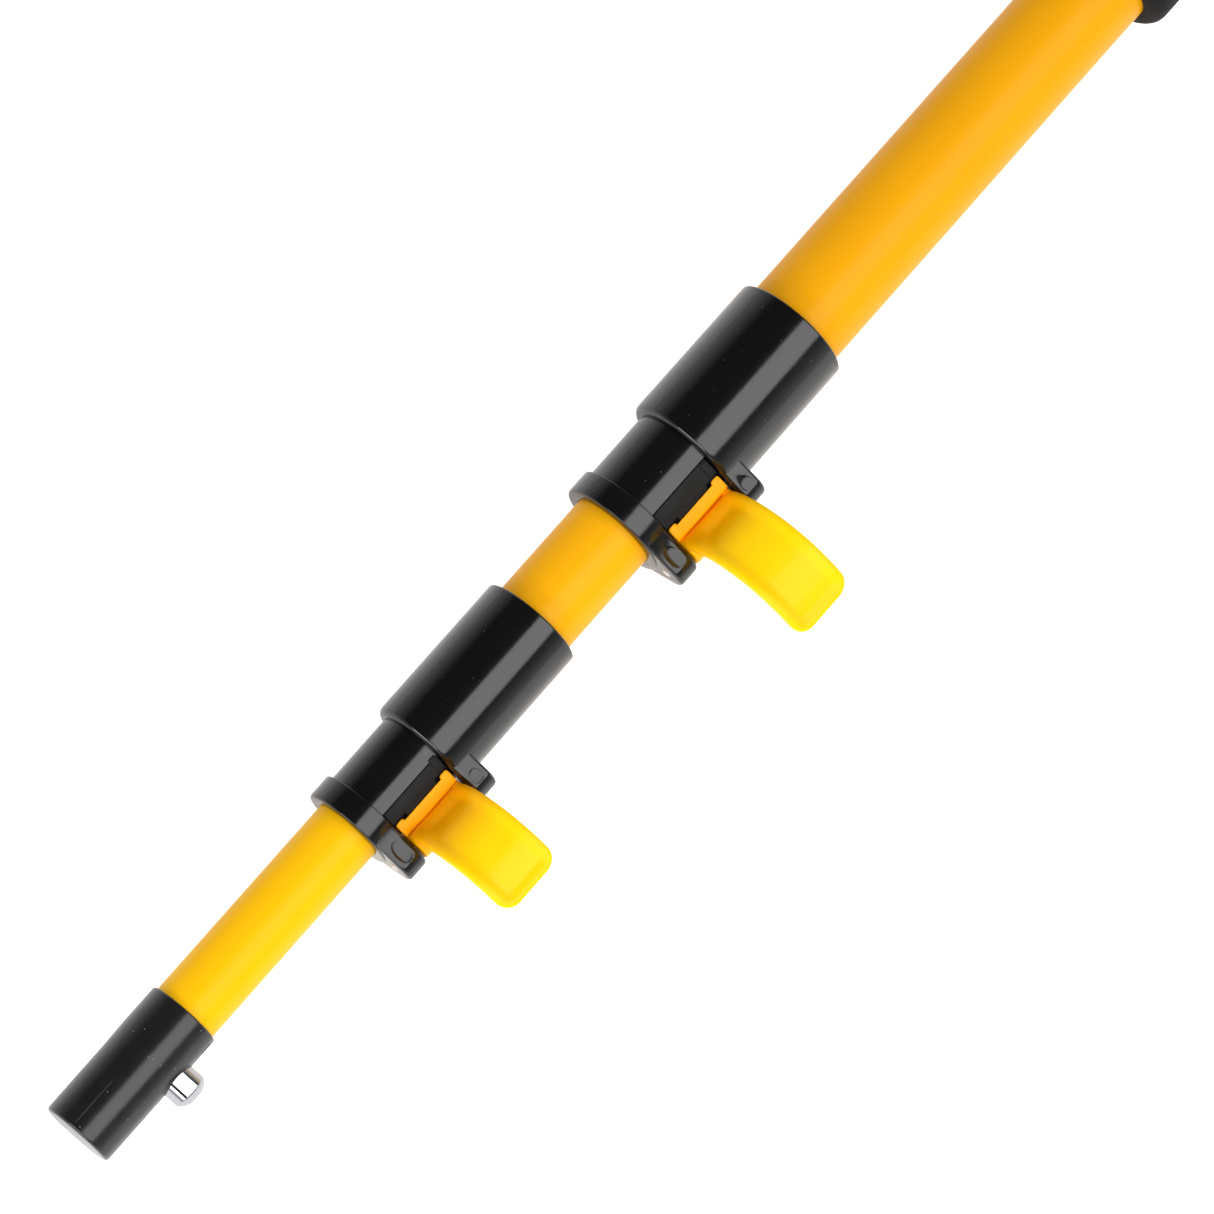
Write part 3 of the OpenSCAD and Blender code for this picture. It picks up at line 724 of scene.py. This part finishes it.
def paddle(c, arc_r, pin):
    """Curved tray: a grid that is given a rim, a dish and rounded corners, then bent round the arc's centre."""
    sweep = PADDLE_ROOT - PADDLE_TIP
    length, width = arc_r * math.radians(sweep), c.lever_x[1] - c.lever_x[0] - 0.5 * MM
    middle = (c.lever_x[0] + c.lever_x[1]) / 2
    centre = pin + Vector((ARC_OUT, ARC_DOWN)) * arc_r
    bm = bmesh.new()
    bmesh.ops.create_grid(bm, x_segments=64, y_segments=34, size=1)
    for v in bm.verts:
        u, across = (v.co.x + 1) / 2, math.sin(v.co.y * math.pi / 2)
        if u < 1 - TIP_SHARE:
            s, half = (length - TIP_ROUND) * u / (1 - TIP_SHARE), width / 2
        else:
            phi = (u - 1 + TIP_SHARE) / TIP_SHARE * math.pi / 2
            s, half = length - TIP_ROUND * (1 - math.sin(phi)), width / 2 - TIP_ROUND * (1 - math.cos(phi))
        v.co = (s, across * half, 0)
    top = bmesh.ops.extrude_face_region(bm, geom=bm.faces[:])["geom"]
    top = {v for v in top if isinstance(v, bmesh.types.BMVert)}
    for v in bm.verts:
        s, w, _ = v.co
        corner = Vector((s - length + TIP_ROUND, abs(w) - width / 2 + TIP_ROUND))
        if corner.x > 0 and corner.y > 0:
            inside = TIP_ROUND - corner.length
        else:
            inside = min(width / 2 - abs(w), length - s)
        inside = max(inside, 0.0)
        near_root = 1 - ramp(s, *ROOT_SPAN)
        lobe = near_root * ramp(w, *LOBE_SPAN)
        edge = EDGE_ROUND + LOBE_ROUND * lobe
        round_off = edge - math.sqrt(max(edge ** 2 - max(edge - inside, 0) ** 2, 0))
        if v in top:
            rim = RIM_W + (LOBE_RIM if w > 0 else SIDE_RIM) * near_root
            dish = (DISH + ROOT_DISH * near_root) * ramp(inside, rim - 1.3 * MM, rim + 2.0 * MM)
            dish *= ramp(s, 4.0 * MM, 10 * MM)
            height = LOBE_RISE * lobe - round_off - dish
        else:
            thick = PADDLE_T - TIP_THINNING * (1 - near_root)
            height = round_off - thick
        turned = polar(arc_r + height, PADDLE_ROOT - math.degrees(s / arc_r))
        v.co = (middle + w, centre.x + turned.x, centre.y + turned.y)
    bmesh.ops.remove_doubles(bm, verts=bm.verts, dist=COARSE_WELD)
    bmesh.ops.recalc_face_normals(bm, faces=bm.faces)
    return bm


def lever(c, arc_r, lean):
    """The lever at rest, fully open: cam, toe and cheeks round the pin, and the paddle at its own lean."""
    pin, (x0, x1) = c.pin, c.lever_x
    middle = (x0 + x1) / 2
    hub = rod(CAM_R, x1 - x0, (middle, *(pin + polar(CAM_SHIFT, lean - 10))), AXIS, 64, 0.7 * MM)
    cheeks = [rod(CHEEK_R, b - a, ((a + b) / 2, pin.x + CHEEK_Y, pin.y + CHEEK_Z), AXIS, 48, 1.2 * MM)
              for a, b in ((x0 + 0.05 * MM, x0 + 3.0 * MM), (x1 - 4.0 * MM, x1 - 0.05 * MM))]
    inner_y = pin.x - 2.62 * MM

    def toe(y_out, a, b, lift, bevel):
        bm = prism([(y_out, pad_height(c, y_out) + lift), (y_out, pad_height(c, y_out) - TOE_T + 0.1 * MM),
                    (pin.x - 4.2 * MM, pad_height(c, pin.x - 4.2 * MM) - TOE_T),
                    (pin.x - 2.4 * MM, pin.y + 1.0 * MM), (inner_y, pad_height(c, inner_y) + lift)], a, b)
        soften(bm, bevel, 3, 30)
        return bm

    toes = [toe(pin.x - TOE_LEN + 0.9 * MM, x0 + 0.15 * MM, x1 - 0.15 * MM, 0.0, 0.4 * MM),
            toe(pin.x - TOE_LEN, x0 + 0.1 * MM, x0 + TOE_END_W, 0.05 * MM, 0.85 * MM),
            toe(pin.x - TOE_LEN, x1 - TOE_END_W, x1 - 0.1 * MM, 0.05 * MM, 0.85 * MM)]
    tray = paddle(c, arc_r, pin)
    swing = (Matrix.Translation((0, *pin)) @ Matrix.Rotation(math.radians(lean), 4, "X")
             @ Matrix.Translation((0, *-pin)))
    bmesh.ops.transform(tray, matrix=swing, verts=tray.verts)
    bore = rod(c.pin_r + 0.06 * MM, 40 * MM, (middle, *pin), AXIS, 40)
    crease = block((x1 - x0 - 1.2 * MM, 0.35 * MM, 2.4 * MM),
                   (middle, inner_y + 0.1 * MM, pad_height(c, inner_y) + 0.5 * MM))
    return combined([tray, hub, *cheeks, *toes], [bore, crease])


def lever_pin(c):
    """Pin with a rounded head at its collar end."""
    x0, x1 = c.pin_x
    bm = spun(rounded([(x0, 0, 0), (x0, c.pin_r, 0.35 * MM), (x1 - 0.25 * MM, c.pin_r, 0.35 * MM),
                       (x1, c.pin_r * 0.45, 0.3 * MM), (x1, 0, 0)], 4), 40)
    bmesh.ops.translate(bm, verts=bm.verts, vec=(0, *c.pin))
    return bm


def clamp_screw(c):
    """Pan head with a cross recess, and a shank into the tube's wall."""
    base = Vector((c.x + SCREW_X, 0, -c.sleeve_r))
    shank_h = c.sleeve_r - c.hold_r + 0.9 * MM
    bm = spun(rounded([(0, 0, 0), (0, HEAD_R, 0.6 * MM), (HEAD_H, HEAD_R, 0.15 * MM),
                       (HEAD_H, SHANK_R, 0.1 * MM), (shank_h, SHANK_R, 0.3 * MM), (shank_h, 0, 0)], 5), 64)
    stand = Matrix.Translation(base) @ AXIS.rotation_difference(UP).to_matrix().to_4x4()
    bmesh.ops.transform(bm, matrix=stand, verts=bm.verts)
    slots = [block((along, across, CROSS_DEPTH), base + UP * 0.3 * MM, bevel=0.12 * MM)
             for along, across in ((CROSS_LONG, CROSS_THIN), (CROSS_THIN, CROSS_LONG))]
    return combined([bm], slots)


LEVER_ARC = {"rear": 27 * MM, "front": 23.3 * MM}
LEVER_LEAN = {"rear": -10.0, "front": 0.0}  # degrees
STAGE = {"rear": "outer_stage", "front": "middle_stage"}
for c in (rear, front):
    end, stage = c.end, STAGE[c.end]
    piece(end + "_clamp_moulded", clamp_body(c), gloss_black, stage,
          [end + "_clamp_body"])
    piece(end + "_brake_shoe_moulded", brake_shoe(c), shoe_black, end + "_shoe",
          [end + "_brake_shoe"])
    piece(end + "_lever_moulded", lever(c, LEVER_ARC[end], LEVER_LEAN[end]), yellow_plastic,
          end + "_lever", [end + "_lever"], 40)
    piece(end + "_pin_domed", lever_pin(c), plated_steel, stage, [end + "_lever_pin"])
    piece(end + "_screw_pan_head", clamp_screw(c), plated_steel, stage, [end + "_clamp_screw"])

# The hidden pieces keep their CAD meshes
HIDDEN = {"middle_guide_bush": cap_black, "inner_guide_bush": cap_black, "button_spring": plated_steel}
for node, look in HIDDEN.items():
    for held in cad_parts[node].material_slots:
        held.material = look

# ---------------------------------------------------------------- floor, light and camera

FLOOR_MIDDLE = (0.28, 0, -0.034)
FLOOR_HALF = 12
FLOOR_GLOW, FLOOR_GLOW_SEEN = 0.35, 0.75  # emission towards the part, and towards the camera
floor_mesh = bmesh.new()
bmesh.ops.create_grid(floor_mesh, x_segments=1, y_segments=1, size=FLOOR_HALF,
                      matrix=Matrix.Translation(FLOOR_MIDDLE))
floor = linked("floor", floor_mesh)
floor_paint = bpy.data.materials.new("pale_floor")
floor_paint.use_nodes = True
floor_nodes, floor_links = floor_paint.node_tree.nodes, floor_paint.node_tree.links
floor_shader = floor_nodes["Principled BSDF"]
floor_shader.inputs["Base Color"].default_value = rgb(0.9, 0.9, 0.9)
floor_shader.inputs["Roughness"].default_value = 0.9
floor_shader.inputs["Specular IOR Level"].default_value = 0.1
floor_shader.inputs["Emission Color"].default_value = rgb(1, 1, 1)
glow = floor_nodes.new("ShaderNodeMapRange")
glow.inputs["To Min"].default_value = FLOOR_GLOW
glow.inputs["To Max"].default_value = FLOOR_GLOW_SEEN
floor_links.new(floor_nodes.new("ShaderNodeLightPath").outputs["Is Camera Ray"], glow.inputs["Value"])
floor_links.new(glow.outputs["Result"], floor_shader.inputs["Emission Strength"])
floor.data.materials.append(floor_paint)


def softbox(name, target, aim, distance, along, across, radiance):
    """Rectangular lamp. aim is the way to it from the target, in degrees off straight up towards +X and +Y."""
    lamp = bpy.data.lights.new(name, "AREA")
    lamp.shape = "RECTANGLE"
    lamp.size, lamp.size_y = along, across
    lamp.energy = radiance * math.pi * across * along
    obj = bpy.data.objects.new(name, lamp)
    bpy.context.scene.collection.objects.link(obj)
    away = Vector((math.tan(math.radians(aim[0])), math.tan(math.radians(aim[1])), 1)).normalized()
    side = Vector((0, 1, 0)) if abs(aim[0]) > abs(aim[1]) else AXIS
    side = (side - away * side.dot(away)).normalized()
    obj.matrix_world = Matrix.Translation(Vector(target) + away * distance) @ Matrix(
        (side, away.cross(side), away)).transposed().to_4x4()
    obj.visible_camera = False
    return obj


softbox("key_softbox", (0.38, 0, 0), aim=(0, 32.5), distance=0.95, along=1.8, across=0.72, radiance=3.2)
softbox("front_card", (0.45, 0, 0), aim=(66, 0), distance=1.1, along=1.0, across=0.22, radiance=8.0)
fill_card = softbox("fill_card", (0.38, 0, 0), aim=(0, -38), distance=1.2, along=1.8, across=1.0, radiance=0.75)
fill_card.visible_glossy = False

# Surroundings by height, as (share of the way up, strength): bright low down, dark overhead
SKY = ((0.0, 1.0), (0.17, 0.62), (0.34, 0.38), (0.55, 0.06))
world = bpy.data.worlds.new("studio")
bpy.context.scene.world = world
world.use_nodes = True
wn, wl = world.node_tree.nodes, world.node_tree.links
around = wn["Background"]
around.inputs["Color"].default_value = rgb(0.96, 0.98, 1.0)
split = wn.new("ShaderNodeSeparateXYZ")
wl.new(wn.new("ShaderNodeTexCoord").outputs["Generated"], split.inputs[0])
fall = wn.new("ShaderNodeValToRGB")
fall.color_ramp.interpolation = "EASE"
for place, level in SKY:
    stop = fall.color_ramp.elements.new(place)
    stop.color = rgb(level, level, level)
fall.color_ramp.elements.remove(fall.color_ramp.elements[0])
fall.color_ramp.elements.remove(fall.color_ramp.elements[-1])
wl.new(split.outputs["Z"], fall.inputs["Fac"])
wl.new(fall.outputs["Color"], around.inputs["Strength"])
pale = wn.new("ShaderNodeBackground")
pale.inputs["Color"].default_value = rgb(1.0, 1.0, 1.0)
seen = wn.new("ShaderNodeLightPath")
pick = wn.new("ShaderNodeMixShader")
wl.new(seen.outputs["Is Camera Ray"], pick.inputs[0])
wl.new(around.outputs[0], pick.inputs[1])
wl.new(pale.outputs[0], pick.inputs[2])
wl.new(pick.outputs[0], wn["World Output"].inputs[0])
bpy.context.scene.view_settings.view_transform = "Standard"
bpy.context.scene.view_settings.look = "None"

CAMERA_AT = (0.66837, 0.15470, 1.46743)
CAMERA_TURNS = {"X": -0.0962616, "Y": 0.2095351, "Z": 2.2940841}
lens = bpy.data.cameras.new("camera")
lens.sensor_width = 36
lens.lens = 160.86
lens.clip_start, lens.clip_end = 0.05, 50
camera = bpy.data.objects.new("camera", lens)
bpy.context.scene.collection.objects.link(camera)
view = Matrix.Translation(CAMERA_AT)
for axis, angle in CAMERA_TURNS.items():
    view = view @ Matrix.Rotation(angle, 4, axis)
camera.matrix_world = view
bpy.context.scene.camera = camera
